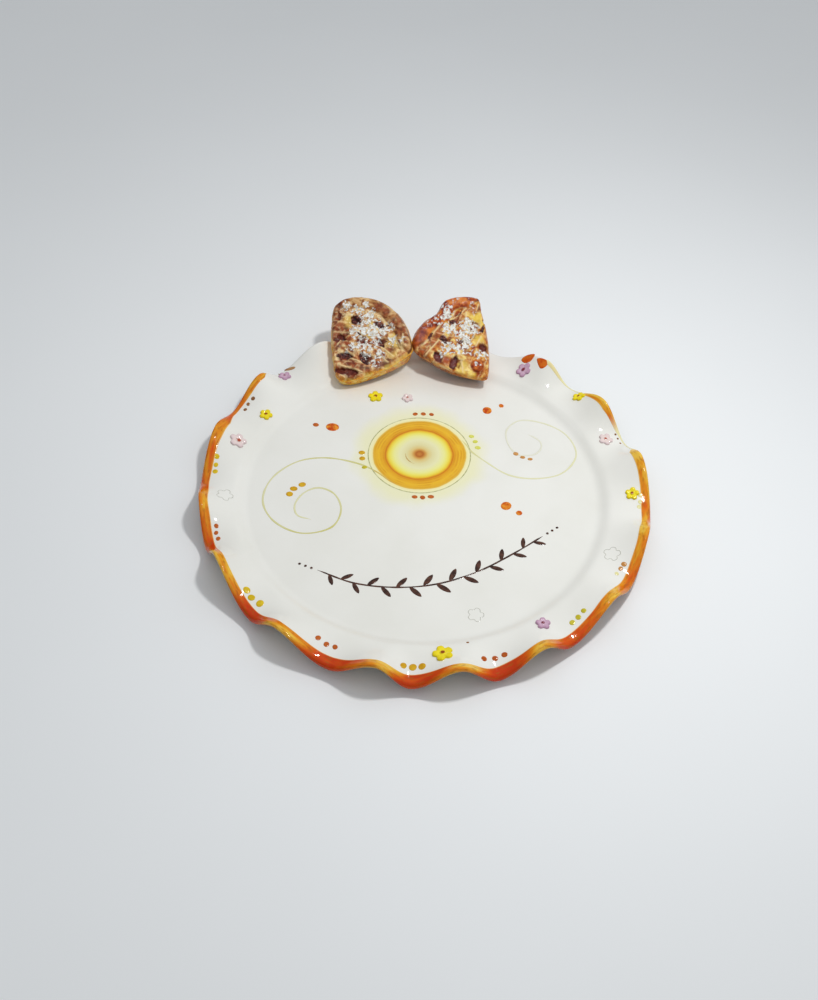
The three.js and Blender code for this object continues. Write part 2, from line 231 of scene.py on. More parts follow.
def rim_reach(angle, wave):
    """How far the edge reaches out over PLATE_RADIUS at a bearing."""
    oval = OVAL * np.cos(np.radians(2 * (angle - OVAL_ANGLE)))
    egg = EGG * np.cos(np.radians(3 * (angle - EGG_ANGLE)))
    return oval + egg - CREST_PULL * (0.5 + 0.5 * wave)


def rim_lift(radius, wave):
    return FLUTE_HEIGHT * wave * rim_share(radius) ** 1.6


def top_height(radius):
    """The upper surface of the plate before it is fluted, with the start of its rim rounded."""
    radius = np.asarray(radius, float)
    total = 0
    offsets = (-3, -1.5, 0, 1.5, 3)
    for offset in offsets:
        at = radius + offset
        total = total + COVE_RISE * smoothstep((at - WELL_RADIUS) / COVE_WIDTH)
        total = total + RIM_SLOPE * np.maximum(at - RIM_START, 0)
    return WELL_TOP + total / len(offsets)


def fluted(radius, angle, height):
    """Points of the round plate, moved with the waves of its rim."""
    wave = flute_wave(angle)
    moved = radius + rim_share(radius) * rim_reach(angle, wave)
    turn = np.radians(angle)
    lifted = height + rim_lift(radius, wave)
    return np.stack(np.broadcast_arrays(moved * np.cos(turn), moved * np.sin(turn), lifted), axis=-1)


def surface(x, y):
    """The height of the plate's upper surface at places in plan."""
    moved = np.hypot(x, y)
    angle = np.degrees(np.arctan2(y, x))
    wave = flute_wave(angle)
    radius = moved
    for _ in range(4):
        radius = moved - rim_share(radius) * rim_reach(angle, wave)
    return top_height(radius) + rim_lift(radius, wave)


def above(places, height):
    """Points at a height off the plate's upper surface, along its normal, at places in plan."""
    x, y = places.T
    step = 0.3
    slope_x = (surface(x + step, y) - surface(x - step, y)) / (2 * step)
    slope_y = (surface(x, y + step) - surface(x, y - step)) / (2 * step)
    normal = np.stack([-slope_x, -slope_y, np.ones_like(slope_x)], axis=-1)
    normal /= np.linalg.norm(normal, axis=-1, keepdims=True)
    return np.stack([x, y, surface(x, y)], axis=-1) + normal * np.asarray(height)[..., None]


# ---- meshes


def skin(rings, start=None, end=None):
    """Vertices and faces of a closed skin over rings of points, capped at both ends by fans.

    start and end are the middle points of the caps, or None for the mean of the end ring.
    """
    count, around = rings.shape[:2]
    row = np.arange(around)
    following = (row + 1) % around
    faces = []
    for i in range(count - 1):
        a, b = i * around, (i + 1) * around
        faces += np.stack([a + row, a + following, b + following, b + row], axis=1).tolist()
    first, last = count * around, count * around + 1
    final = (count - 1) * around
    faces += np.stack([following, row, np.full(around, first)], axis=1).tolist()
    faces += np.stack([final + row, final + following, np.full(around, last)], axis=1).tolist()
    caps = [rings[0].mean(0) if start is None else start, rings[-1].mean(0) if end is None else end]
    return np.vstack([rings.reshape(-1, 3), caps]), faces


def joined(skins):
    """Several skins as one."""
    vertices, faces, offset = [], [], 0
    for points, corners in skins:
        vertices.append(points)
        faces += [[i + offset for i in face] for face in corners]
        offset += len(points)
    return np.vstack(vertices), faces


def add_object(name, data):
    """Puts a mesh, light or camera into the scene."""
    item = bpy.data.objects.new(name, data)
    bpy.context.scene.collection.objects.link(item)
    return item


def add_piece(name, shape, material, replaced=(), attributes=None):
    """Makes a piece of the object from a skin in millimetres, with its material and its CAD nodes."""
    vertices, faces = shape
    mesh = bpy.data.meshes.new(name)
    mesh.from_pydata((vertices * MM).tolist(), [], faces)
    mesh.shade_smooth()
    for label, values in (attributes or {}).items():
        layer = mesh.attributes.new(label, "FLOAT", "POINT")
        layer.data.foreach_set("value", np.asarray(values, np.float32))
    mesh.materials.append(material)
    piece = add_object(name, mesh)
    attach(piece, ROOT)
    if replaced:
        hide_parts(*replaced)


# ---- materials


def paint(red, green, blue):
    """A colour given as it looks, from 0 to 255, as Blender's linear colour."""
    seen = np.array([red, green, blue]) / 255
    linear = np.where(seen <= 0.04045, seen / 12.92, ((seen + 0.055) / 1.055) ** 2.4)
    return (*linear.tolist(), 1.0)


def add_node(tree, kind, inputs, **settings):
    """A shader node with its settings and inputs set; inputs are sockets or plain values."""
    node = tree.nodes.new("ShaderNode" + kind)
    for key, value in settings.items():
        setattr(node, key, value)
    for key, value in inputs.items():
        if isinstance(value, bpy.types.NodeSocket):
            tree.links.new(value, node.inputs[key])
        else:
            node.inputs[key].default_value = value
    return node


class Glaze:
    """A glossy glaze whose colour, roughness and relief are built up from nodes.

    Its colours are sockets, or (red, green, blue) as paint() takes them.
    """

    def __init__(self, name, roughness=0.1, gloss=0.25):
        self.material = bpy.data.materials.new(name)
        self.material.use_nodes = True
        self.tree = self.material.node_tree
        self.shader = self.tree.nodes["Principled BSDF"]
        self.shader.inputs["Roughness"].default_value = roughness
        self.shader.inputs["Specular IOR Level"].default_value = gloss
        self.place = self.node("TexCoord", {}).outputs["Object"]

    def node(self, kind, inputs, **settings):
        return add_node(self.tree, kind, inputs, **settings)

    def mark(self, name):
        return self.node("Attribute", {}, attribute_name=name).outputs["Fac"]

    def noise(self, size, detail=3.0, distortion=0.0, place=None):
        """Noise from 0 to 1 with blotches about size across, in millimetres."""
        inputs = {"Vector": place or self.place, "Scale": 1 / (size * MM), "Detail": detail,
                  "Distortion": distortion}
        return self.node("TexNoise", inputs).outputs["Fac"]

    def math(self, operation, a, b=0.0):
        return self.node("Math", {0: a, 1: b}, operation=operation).outputs[0]

    def times(self, product, *factors):
        """The product of sockets or numbers."""
        for factor in factors:
            product = self.math("MULTIPLY", product, factor)
        return product

    def varied(self, value, noise, amount):
        """Value moved up and down by noise, by amount at the most."""
        return self.math("ADD", value, self.times(self.math("SUBTRACT", noise, 0.5), 2 * amount))

    def span(self, value, low, high, out_low=0.0, out_high=1.0):
        """Value taken from low..high to out_low..out_high, and held there beyond."""
        inputs = {"Value": value, "From Min": low, "From Max": high, "To Min": out_low, "To Max": out_high}
        return self.node("MapRange", inputs, interpolation_type="SMOOTHSTEP").outputs["Result"]

    def ramp(self, value, stops):
        """A colour ramp through (position, colour) stops."""
        node = self.node("ValToRGB", {"Fac": value})
        elements = node.color_ramp.elements
        while len(elements) < len(stops):
            elements.new(0.5)
        for element, (position, shade) in zip(elements, stops):
            element.position = position
            element.color = paint(*shade)
        return node.outputs["Color"]

    def mix(self, share, a, b):
        """One colour over another, by a share."""
        a, b = (paint(*value) if isinstance(value, tuple) else value for value in (a, b))
        return self.node("Mix", {0: share, 6: a, 7: b}, data_type="RGBA").outputs[2]

    def distance(self, x, y):
        """How far a point is in plan from a place, in millimetres."""
        flat = self.node("VectorMath", {0: self.place, 1: (1, 1, 0)}, operation="MULTIPLY")
        inputs = {0: flat.outputs[0], 1: (x * MM, y * MM, 0)}
        metres = self.node("VectorMath", inputs, operation="DISTANCE").outputs["Value"]
        return self.times(metres, 1 / MM)

    def finish(self, colour, relief=None, depth=0.1, roughness=None):
        """Connects the colour, and relief as a bump that is depth millimetres high."""
        self.tree.links.new(colour, self.shader.inputs["Base Color"])
        if relief is not None:
            bump = self.node("Bump", {"Height": relief, "Strength": 1.0, "Distance": depth * MM})
            self.tree.links.new(bump.outputs["Normal"], self.shader.inputs["Normal"])
        if roughness is not None:
            self.tree.links.new(roughness, self.shader.inputs["Roughness"])
        return self.material


SUN = (-2.8, 39.8)
SUN_RADIUS = 42.5
SUN_STREAKS = 110
# The painted disc's section: how far out as a share of its radius, and how high in millimetres.
SUN_PROFILE = [(1, -0.5), (1, -0.06), (0.97, -0.01), (0.9, 0.04), (0.75, 0.06), (0.5, 0.06), (0.2, 0.06)]


def white_glaze_colour(glaze):
    """White glaze, a little uneven, with a soft yellow halo sprayed round the painted sun."""
    white = glaze.ramp(glaze.noise(55, detail=4), [(0.35, (230, 229, 221)), (0.6, (234, 233, 226))])
    reach = glaze.varied(glaze.distance(*SUN), glaze.noise(24, detail=2), 8)
    halo = glaze.span(reach, SUN_RADIUS + 2, SUN_RADIUS + 20, 0.75, 0)
    return glaze.mix(halo, white, (234, 231, 180))


def white_glaze_material():
    """White glaze on top, a dark grey-green below that is painted shade under the rim, and bare clay under
    the foot.
    """
    glaze = Glaze("white_glaze", gloss=0.4)
    colour = white_glaze_colour(glaze)
    # Painted shade: the underside is coloured a dark grey-green for the shade that lies under the rim.
    colour = glaze.mix(glaze.mark("under"), colour, (124, 127, 114))
    height = glaze.node("SeparateXYZ", {"Vector": glaze.place}).outputs["Z"]
    bare = glaze.span(height, 0.2 * MM, 1.2 * MM, 1, 0)
    clay = glaze.mix(glaze.noise(1.5), (206, 186, 160), (222, 206, 184))
    waves = glaze.varied(glaze.noise(26, detail=1), glaze.noise(2.2), 0.01)
    roughness = glaze.span(bare, 0, 1, 0.06, 0.8)
    return glaze.finish(glaze.mix(bare, colour, clay), waves, depth=0.5, roughness=roughness)


def sun_material():
    """Rings of yellow and orange wash, brushed round on the wheel, about a brown spot."""
    glaze = Glaze("sun_glaze", roughness=0.06, gloss=0.4)
    white = white_glaze_colour(glaze)
    radius = glaze.distance(*SUN)
    reach = glaze.math("DIVIDE", glaze.varied(radius, glaze.noise(20, detail=3), 1.4), SUN_RADIUS)
    rings = glaze.ramp(reach, [
        (0.0, (202, 128, 46)), (0.07, (178, 100, 30)), (0.11, (206, 148, 66)),
        (0.16, (220, 194, 122)), (0.25, (222, 214, 158)), (0.38, (230, 227, 178)),
        (0.49, (234, 231, 148)), (0.56, (236, 225, 98)), (0.61, (234, 204, 54)),
        (0.64, (224, 162, 18)), (0.662, (202, 112, 0)), (0.684, (222, 156, 12)),
        (0.8, (234, 184, 34)), (0.86, (226, 172, 34)), (0.9, (222, 176, 52)),
        (0.922, (238, 229, 164)), (0.96, (238, 233, 184))])
    streaks = glaze.span(glaze.math("SINE", glaze.times(reach, SUN_STREAKS)), -1, 1)
    brushed = glaze.times(streaks, glaze.span(glaze.noise(12, detail=2), 0.35, 0.65))
    banded = glaze.times(glaze.span(reach, 0.62, 0.68), glaze.span(reach, 0.86, 0.9, 1, 0))
    rings = glaze.mix(glaze.times(brushed, banded, 0.6), rings, (206, 134, 4))
    edge = glaze.span(radius, SUN_RADIUS - 1, SUN_RADIUS + 1.5)
    return glaze.finish(glaze.mix(edge, rings, white), glaze.noise(26, detail=1), depth=0.5)


def enamel_material(name, dark, light, roughness=0.12):
    """A dab of coloured enamel, thicker and darker in places."""
    glaze = Glaze(name, roughness)
    colour = glaze.ramp(glaze.noise(4, detail=4), [(0.38, dark), (0.64, light)])
    return glaze.finish(colour, glaze.noise(1.2), depth=0.05)


# ---- the plate


LIP = RIM_CLAY / 2
LEAN = atan(RIM_SLOPE)
LIP_RADIUS = PLATE_RADIUS - LIP
LIP_HEIGHT = float(top_height(LIP_RADIUS)) - LIP / cos(LEAN)
FOOT_CORNER = 1.2
PLATE_AROUND = 600


def plate_shape():
    """The plate from the middle of its well over the lip and back under to the middle of its foot."""
    top = np.concatenate([np.arange(8, 128, 12), np.arange(130, 177.4, 1.2)])
    profile = [(radius, float(top_height(radius)), 0) for radius in top]
    for share in np.linspace(0, 1, 15):
        turn = radians(90 - 180 * share) + LEAN
        profile.append((LIP_RADIUS + LIP * cos(turn), LIP_HEIGHT + LIP * sin(turn), share))
    for radius in np.arange(174, WELL_RADIUS, -2.5):
        profile.append((radius, max(float(top_height(radius)) - RIM_CLAY, FOOT_HEIGHT), 1))
    for radius in (132, 120, 110, FOOT_RADIUS + 3.5):
        profile.append((radius, FOOT_HEIGHT, 1))
    for turn in np.linspace(0, pi / 2, 5):
        radius = FOOT_RADIUS + 1 - FOOT_CORNER * (1 - cos(turn))
        profile.append((radius, FOOT_CORNER * (1 - sin(turn)), 1))
    profile += [(60, 0, 1), (8, 0, 1)]
    radius, height, under = np.array(profile[::-1]).T
    angle = np.linspace(0, 360, PLATE_AROUND, endpoint=False)
    rings = fluted(radius[:, None], angle, height[:, None])
    shape = skin(rings, start=(0, 0, 0), end=(0, 0, WELL_TOP))
    return shape, {"under": np.append(np.repeat(smoothstep(under * 1.6 - 0.6), PLATE_AROUND), [1, 0])}


def build_plate():
    shape, attributes = plate_shape()
    add_piece("plate_glaze", shape, white_glaze_material(), ["plate"], attributes)


# ---- the painted edge


# How far the orange reaches in from the lip at each bearing, and how red it is in troughs and on crests.
BAND_WIDTHS = [
    (139.5, 0), (141.5, 2.6), (147, 3.4), (152, 2.6), (156, 3), (160, 5.8), (200, 6), (206, 5.2), (350, 5),
    (360, 4.4), (371.8, 4.2), (373.4, 1.2), (380, 1), (382.5, 1.8), (386, 2.8), (388, 4), (393, 3.2),
    (397, 2.4), (398, 1), (403, 1), (407, 1.7), (411, 1.6), (413, 0),
]
BAND_REDNESS = [
    (140, 0.4, 0.2), (160, 0.6, 0.3), (185, 0.62, 0.32), (205, 0.75, 0.25), (225, 1, 0.12), (300, 1, 0.12),
    (315, 0.75, 0.2), (335, 0.52, 0.15), (350, 0.4, 0.12), (365, 0.25, 0.05), (390, 0.6, 0.1), (400, 0, 0),
    (413, 0, 0),
]
# Its thickness over the glaze, how soon it is reached from the edge, and how deep its back is sunk.
BAND_GLAZE = 0.25
BAND_EDGE = 0.6
BAND_ROOT = 0.5
# A band that reaches in by BAND_FULL covers the whole lip, and wide ones go on beneath it.
BAND_FULL = 3.2
BAND_BENEATH = 4.5
BAND_STEPS = 1100
BAND_SLANT = 6


def band_walk(share, inset):
    """Where a share of the way across the band is: walked from the lip's top, and from its edges."""
    start = -inset * smoothstep(inset / 2)
    end = pi * LIP * np.clip(inset / BAND_FULL, 0, 1) + BAND_BENEATH * smoothstep((inset - 2.4) / 2)
    return start + share * (end - start), np.minimum(share, 1 - share) * (end - start)


def band_shape():
    """A skin of orange glaze over the lip, and what colours it: redness, faintness and direction."""
    angle = np.linspace(BAND_WIDTHS[0][0], BAND_WIDTHS[-1][0], BAND_STEPS)
    inset = np.interp(angle, *np.array(BAND_WIDTHS).T) * (1 + 0.12 * line_noise(angle, 5, seed=4))
    edge = [0, 0.012, 0.025, 0.04, 0.07]
    across = np.concatenate([edge, np.linspace(0.1, 0.9, 19), 1 - np.array(edge[::-1])])
    rings, shares = [], []
    for share, outside in [(s, True) for s in across] + [(s, False) for s in across[::-1]]:
        walked, from_edge = band_walk(share, inset)
        offset = (BAND_GLAZE + BAND_ROOT) * smoothstep(from_edge / BAND_EDGE) if outside else 0
        turn = pi / 2 + LEAN - np.clip(walked / LIP, 0, pi)
        straight = np.maximum(-walked, 0) + np.maximum(walked - pi * LIP, 0)
        reach = LIP + offset - BAND_ROOT
        radius = LIP_RADIUS + reach * np.cos(turn) - straight * cos(LEAN)
        height = LIP_HEIGHT + reach * np.sin(turn) - straight * sin(LEAN)
        rings.append(fluted(radius, angle, height))
        shares.append(np.full(len(angle), share))
    shares = np.array(shares).T
    wave = flute_wave(angle[:, None] + (shares - 0.5) * BAND_SLANT)
    places, troughs, crests = np.array(BAND_REDNESS).T
    trough, crest = np.interp(angle, places, troughs)[:, None], np.interp(angle, places, crests)[:, None]
    fields = {
        "across": shares,
        "along": np.radians(angle)[:, None] * PLATE_RADIUS + shares * 0,
        "redness": crest + (trough - crest) * smoothstep(0.55 - 0.5 * wave),
        "faint": (smoothstep((2.8 - inset) / 1.4) * (angle > 370))[:, None] + shares * 0,
    }
    attributes = {name: [*field.ravel(), field[0, 0], field[-1, 0]] for name, field in fields.items()}
    return skin(np.array(rings).transpose(1, 0, 2)), attributes


def band_material():
    glaze = Glaze("orange_glaze", roughness=0.07)
    across = glaze.mark("across")
    inputs = {"X": glaze.times(glaze.mark("along"), MM), "Y": glaze.times(across, 60 * MM)}
    place = glaze.node("CombineXYZ", inputs).outputs[0]
    streaks = glaze.noise(20, detail=4, distortion=0.3, place=place)
    colour = glaze.ramp(glaze.varied(glaze.mark("redness"), streaks, 0.8), [
        (0.0, (234, 190, 70)), (0.14, (228, 168, 44)), (0.32, (222, 138, 22)),
        (0.54, (216, 108, 8)), (0.76, (212, 80, 2)), (1.0, (198, 56, 0))])
    dark = glaze.span(glaze.noise(7, detail=5, place=place), 0.5, 0.66, 0, 0.6)
    colour = glaze.mix(dark, colour, (168, 92, 14))
    colour = glaze.mix(glaze.mark("faint"), colour, (232, 224, 172))
    outer, inner = glaze.span(across, 0.02, 0.08, 0.75, 0), glaze.span(across, 0.88, 0.97, 0, 0.75)
    colour = glaze.mix(glaze.math("ADD", outer, inner), colour, (242, 214, 136))
    return glaze.finish(colour, glaze.noise(6, detail=2), depth=0.25)


def build_band():
    shape, attributes = band_shape()
    add_piece("rim_band", shape, band_material(), attributes=attributes)


# ---- painted decoration


DAB_THICK = 0.3
LEAF_THICK = 0.2
# A dab's section: how far out of its middle, and how high as a share of its thickness. What is below
# the glaze is in millimetres.
DOME_PROFILE = [(1, -0.25), (1, 0.02), (0.93, 0.45), (0.78, 0.75), (0.5, 0.95), (0.2, 1)]


def dome(x, y, outline, thick):
    """A closed dab of enamel on the plate, from an outline round its middle in plan."""
    rings = []
    for share, height in DOME_PROFILE:
        rings.append(above((x, y) + outline * share, height * thick if height > 0 else height))
    return skin(np.array(rings))


def dot(x, y, across, deep=None, seed=0):
    """A round dab, a little out of round, or an oval one that is deep from front to back."""
    turn = full_turn(24)
    lean = np.random.default_rng(seed).uniform(0, np.pi)
    reach = 0.5 * (1 + 0.05 * np.cos(2 * (turn - lean)))
    return dome(x, y, polar(reach, turn) * (across, deep or across), DAB_THICK)


def teardrop(x, y, length, width, heading, point):
    """A dab that narrows towards a heading, to a point where point is 1."""
    turn = full_turn(28)
    along = length / 2 * np.cos(turn)
    side = width / 2 * np.sin(turn) * (1 - point * np.cos(turn)) / (1 + 0.3 * point)
    return dome(x, y, turned(along, side, heading), DAB_THICK)


RIBBON_SIDES = 10


def ribbon(route, width, thick=0.12, taper=6.0, seed=0):
    """A brushed line along a route in plan: domed, uneven, and thin at both ends."""
    route = np.asarray(route)
    along = np.gradient(route, axis=0)
    along /= np.linalg.norm(along, axis=1, keepdims=True)
    side = np.stack([-along[:, 1], along[:, 0]], axis=1)
    walked = np.concatenate([[0], np.cumsum(np.linalg.norm(np.diff(route, axis=0), axis=1))])
    fade = 0.25 + 0.75 * smoothstep(np.minimum(walked, walked[-1] - walked) / taper)
    half = width / 2 * fade * (1 + 0.22 * line_noise(walked, 7, seed))
    rings = []
    for turn in full_turn(RIBBON_SIDES):
        rings.append(above(route + side * (half * cos(turn))[:, None], thick * sin(turn)))
    return skin(np.array(rings)[::-1].transpose(1, 0, 2))


def loop(route, width, thick=0.1):
    """A brushed line round a closed route, whose ends meet."""
    return ribbon(np.vstack([route, route[:2]]), width, thick, taper=0.5)


def arc(x, y, radius, start, end, count):
    """Points round a circle in plan, between two bearings."""
    return (x, y) + polar(radius, np.radians(np.linspace(start, end, count)))


# Each group of dots: its slot, its darker and lighter colour, and the dots.
DOTS = {
    "dots_orange": ("orange_glaze", (192, 66, 0), (234, 152, 40), [
        (-77.1, 68.8, 11.6, 9), (55.2, 93.7, 8.4, 8.2), (67, -14, 8.6, 8.6), (77, -21, 4.8, 5.2),
        (67.7, 99.9, 4, 5)]),
    "dots_rust": ("orange_glaze", (172, 78, 18), (196, 104, 36), [
        (-91.4, 71, 5.2, 4.6), (-6, -7, 4.6, 3.8), (0.4, -7.4, 4.4, 4.2), (7, -6.4, 5, 4),
        (-7, 87, 4.4, 4), (0, 87.4, 4.4, 4.2), (7, 87, 4.2, 3.8), (-158, -48, 3.6), (-157.6, -53.4, 3.4),
        (-155.4, -58.4, 3.8), (-72, -146.4, 4.2), (-65.9, -150.9, 4.2), (-59.7, -152.7, 4),
        (44.8, -159.1, 4.2), (52.6, -158, 4.2), (59.2, -155.4, 4.2)]),
    "dots_tan": ("orange_glaze", (190, 130, 64), (208, 154, 92), [
        (77.6, 43.1, 4.4, 4.2), (83, 39.3, 4.2, 3.4), (89.2, 37.5, 4.2, 3.2), (149.7, -77.8, 3.6),
        (152.4, -74.4, 4)]),
    "dots_ochre": ("yellow_glaze", (198, 146, 14), (216, 172, 34), [
        (-50.7, 40, 5.2, 4.8), (-50, 33.4, 5.2, 4.4), (-97, 3, 6, 5.2), (-103.4, -1.6, 6, 5.2),
        (-106.2, -7.4, 6, 5), (-11.3, -166.4, 4.6), (-4.8, -167, 5.4), (1.6, -166.6, 5.2)]),
    "dots_gold": ("yellow_glaze", (206, 172, 16), (224, 194, 40), [
        (-127.1, -107.6, 5.4), (-123.2, -113, 5.2), (-116.6, -117.3, 5.8), (-167.8, 23.5, 4.6),
        (-167.7, 16.2, 4), (-167.6, 10, 4.4)]),
    "dots_olive": ("yellow_glaze", (186, 172, 34), (206, 192, 62), [
        (-47.7, 23.6, 4.4, 3.6), (113.5, -123.6, 4.3), (117.6, -118.8, 4), (109, -127.5, 4.2)]),
    "dots_lime": ("yellow_glaze", (206, 206, 70), (220, 218, 112), [
        (41, 62, 4.6, 3.8), (44, 56, 4.6, 3.6), (46, 49, 5, 4)]),
    "dots_pale": ("yellow_glaze", (222, 214, 140), (232, 226, 172), [
        (173.4, -6.6, 4), (172.9, -12.4, 3.8), (171.4, -16.6, 3.6), (146.4, -82.1, 3.2)]),
    "dots_brown": ("brown_glaze", (116, 72, 38), (156, 106, 64), [
        (-146.4, 91.3, 3.4), (-150.2, 86.5, 3.2), (-152.2, 81.2, 3.2), (162.1, 63.6, 1.8),
        (163.9, 60.1, 1.8), (165.5, 55.1, 1.8), (33.7, -145.2, 2.1, 1.7)]),
}
# Dabs that aren't round: points round their outlines.
DABS = [
    [(86.4, 146.6), (89.6, 148.8), (97.4, 145), (94, 140.7), (89, 141.4)],
    [(99.2, 140), (104.4, 137.7), (108.4, 133.6), (105.6, 131.2), (102.2, 131.2), (100, 135)],
]
STROKES = [(-119.4, 134.8, 10, 3.2, 4, -0.2), (-127, 127.6, 6, 2.6, 140, 0.6)]

LEFT_SCROLL = [
    (-20.9, 5.7), (-27.1, 9.9), (-32.6, 14.8), (-39.6, 20.4), (-53, 27.5), (-80, 33), (-103, 28), (-122, 9),
    (-126.8, -15), (-116, -35.5), (-93, -47), (-70, -40), (-64, -22), (-71, -5.5), (-84, 0), (-95, -6),
    (-101, -19), (-98, -29), (-87, -33),
]
RIGHT_SCROLL = [
    (33, 57), (37, 50.8), (40.3, 44.7), (45.9, 39), (51.6, 33.7), (71, 19), (93, 16), (115, 23), (128, 44),
    (121, 67), (102, 80), (82, 82), (71, 70), (72, 53), (79, 42.5), (87, 41.5), (94, 43.5), (99, 50),
    (99, 57), (95, 62), (89, 66),
]
OUTLINE_FLOWERS = [(-156, -16, 12.5), (40.3, -118.6, 12), (144.5, -64.4, 12.5)]
SPRIG = [(-78, -82), (-50, -93), (-18, -96), (12, -92), (42, -80), (70, -62), (94, -44)]


def build_dots():
    for number, (name, (slot, dark, light, places)) in enumerate(DOTS.items()):
        shapes = [dot(*place, seed=50 * number + i) for i, place in enumerate(places)]
        add_piece(name, joined(shapes), enamel_material(name + "_enamel", dark, light))
    shapes = []
    for points in DABS:
        middle = np.mean(points, axis=0)
        shapes.append(dome(*middle, spline(points - middle, 30, closed=True), DAB_THICK))
    enamel = enamel_material("dab_enamel", (196, 76, 2), (216, 110, 24))
    add_piece("dabs", joined(shapes), enamel)
    enamel = enamel_material("stroke_enamel", (140, 92, 62), (176, 132, 86))
    add_piece("brush_strokes", joined([teardrop(*place) for place in STROKES]), enamel)


def build_sun():
    """A thin painted disc that sinks into the glaze at its edge, and the fine lines drawn round it."""
    rings = []
    for share, height in SUN_PROFILE:
        rings.append(above(arc(*SUN, (SUN_RADIUS + 2) * share, 0, 357, 120), height))
    add_piece("sun_disc", skin(np.array(rings)), sun_material())
    line = enamel_material("olive_line", (166, 166, 112), (204, 203, 156), roughness=0.3)
    shape = loop(arc(*SUN, SUN_RADIUS, 0, 358, 180), 0.85, 0.12)
    add_piece("sun_line", shape, line)
    shade = enamel_material("brown_line", (170, 120, 52), (206, 176, 104), roughness=0.3)
    shape = ribbon(arc(*SUN, 11.5, 178, 250, 40), 1.3, 0.12, taper=9)
    add_piece("sun_stroke", shape, shade)


def scroll_material(name, colours):
    """Thin wash that fades along the scroll, through evenly spaced colours."""
    glaze = Glaze(name, roughness=0.35)
    walked = glaze.varied(glaze.mark("walked"), glaze.noise(16), 0.12)
    stops = [(i / (len(colours) - 1), colour) for i, colour in enumerate(colours)]
    return glaze.finish(glaze.ramp(walked, stops), glaze.noise(1.2), depth=0.05)


def build_scrolls():
    """Two thin spirals drawn out of the sun, one to each side."""
    count = 360
    walked = np.append(np.repeat(np.linspace(0, 1, count), RIBBON_SIDES), [0, 1])
    orange, olive, soft = (212, 150, 30), (206, 200, 124), (220, 217, 172)
    pale, faint = (224, 222, 178), (225, 224, 204)
    for name, route, colours in (
            ("scroll_left", LEFT_SCROLL, [orange, olive, soft, olive, soft, pale]),
            ("scroll_right", RIGHT_SCROLL, [olive, pale, pale, faint, faint, faint])):
        shape = ribbon(spline(route, count), 1.45, thick=0.08, seed=len(name))
        wash = scroll_material(name + "_wash", colours)
        add_piece(name, shape, wash, attributes={"walked": walked})


def petal_radius(across, turn, notch_depth):
    """The outline of five rounded petals round a middle."""
    notch = 0.5 - 0.5 * np.cos(5 * turn)
    return across / 2 * (1 - notch_depth * notch ** 2)


def build_outline_flowers():
    line = enamel_material("grey_line", (178, 178, 166), (206, 206, 195))
    turn = full_turn(100)
    shapes = []
    for x, y, across in OUTLINE_FLOWERS:
        shapes.append(loop((x, y) + polar(petal_radius(across, turn, 0.3), turn), 0.5))
    add_piece("outline_flowers", joined(shapes), line)


STEM_STEPS = 260
LEAVES = 17
LEAF_LENGTH = 13
LEAF_TURN = 48


def leaf(x, y, heading, length):
    """A small painted leaf, pointed at both ends."""
    turn = full_turn(24)
    along = length / 2 * np.cos(turn)
    side = length * 0.17 * np.sin(turn) * np.abs(np.sin(turn)) ** 0.35
    middle = (x, y) + turned(length / 2, 0, heading)[0]
    return dome(*middle, turned(along, side, heading), LEAF_THICK)


def build_sprig():
    """A leafy sprig brushed across the front of the well, with three dots at each end."""
    stem = spline(SPRIG, STEM_STEPS)
    shapes = [ribbon(stem, 1.4, seed=3)]
    heading = np.degrees(np.arctan2(*np.gradient(stem, axis=0).T[::-1]))
    for number, at in enumerate(np.linspace(14, STEM_STEPS - 15, LEAVES).astype(int)):
        side = 1 if number % 2 else -1
        length = LEAF_LENGTH - 0.35 * abs(number - LEAVES // 2)
        shapes.append(leaf(*stem[at], heading[at] + side * LEAF_TURN, length))
    for end, step in ((0, -5), (-1, 5)):
        for i in (1, 2, 3):
            shapes.append(dot(*(stem[end] + turned(step * i, 0, heading[end])[0]), 2.2, seed=i))
    ink = enamel_material("brown_ink", (52, 32, 26), (92, 58, 44))
    add_piece("sprig", joined(shapes), ink)


# ---- the relief flowers


FLOWER_RELIEF = 1.9
# A flower's section: how far out of its middle, and how high as a share of FLOWER_RELIEF.
FLOWER_PROFILE = [
    (1, -0.35), (1, 0.35), (0.975, 0.6), (0.92, 0.8), (0.82, 0.9), (0.66, 0.9), (0.5, 0.8), (0.38, 0.66),
    (0.32, 0.56), (0.29, 0.68), (0.24, 0.84), (0.15, 0.92), (0.06, 0.94),
]
FLOWERS = [
    ("yellow", 16, -157, 15), ("lilac", 88, -129, 11), ("yellow", 167, -5, 11), ("pink", 153, 57, 12),
    ("yellow", 134, 103, 10.5), ("lilac", 88, 135, 12.5), ("pink", -14, 106, 10), ("yellow", -42, 107, 13),
    ("lilac", -123, 125, 11.5), ("yellow", -134, 76, 11), ("pink", -153, 42, 13.5),
]
# For each colour: the petals' edge, their middle and the button.
FLOWER_COLOURS = {
    "yellow": ((228, 206, 12), (242, 222, 40), (150, 72, 8)),
    "lilac": ((186, 146, 172), (206, 172, 192), (120, 40, 56)),
    "pink": ((222, 202, 202), (232, 214, 208), (172, 74, 48)),
}


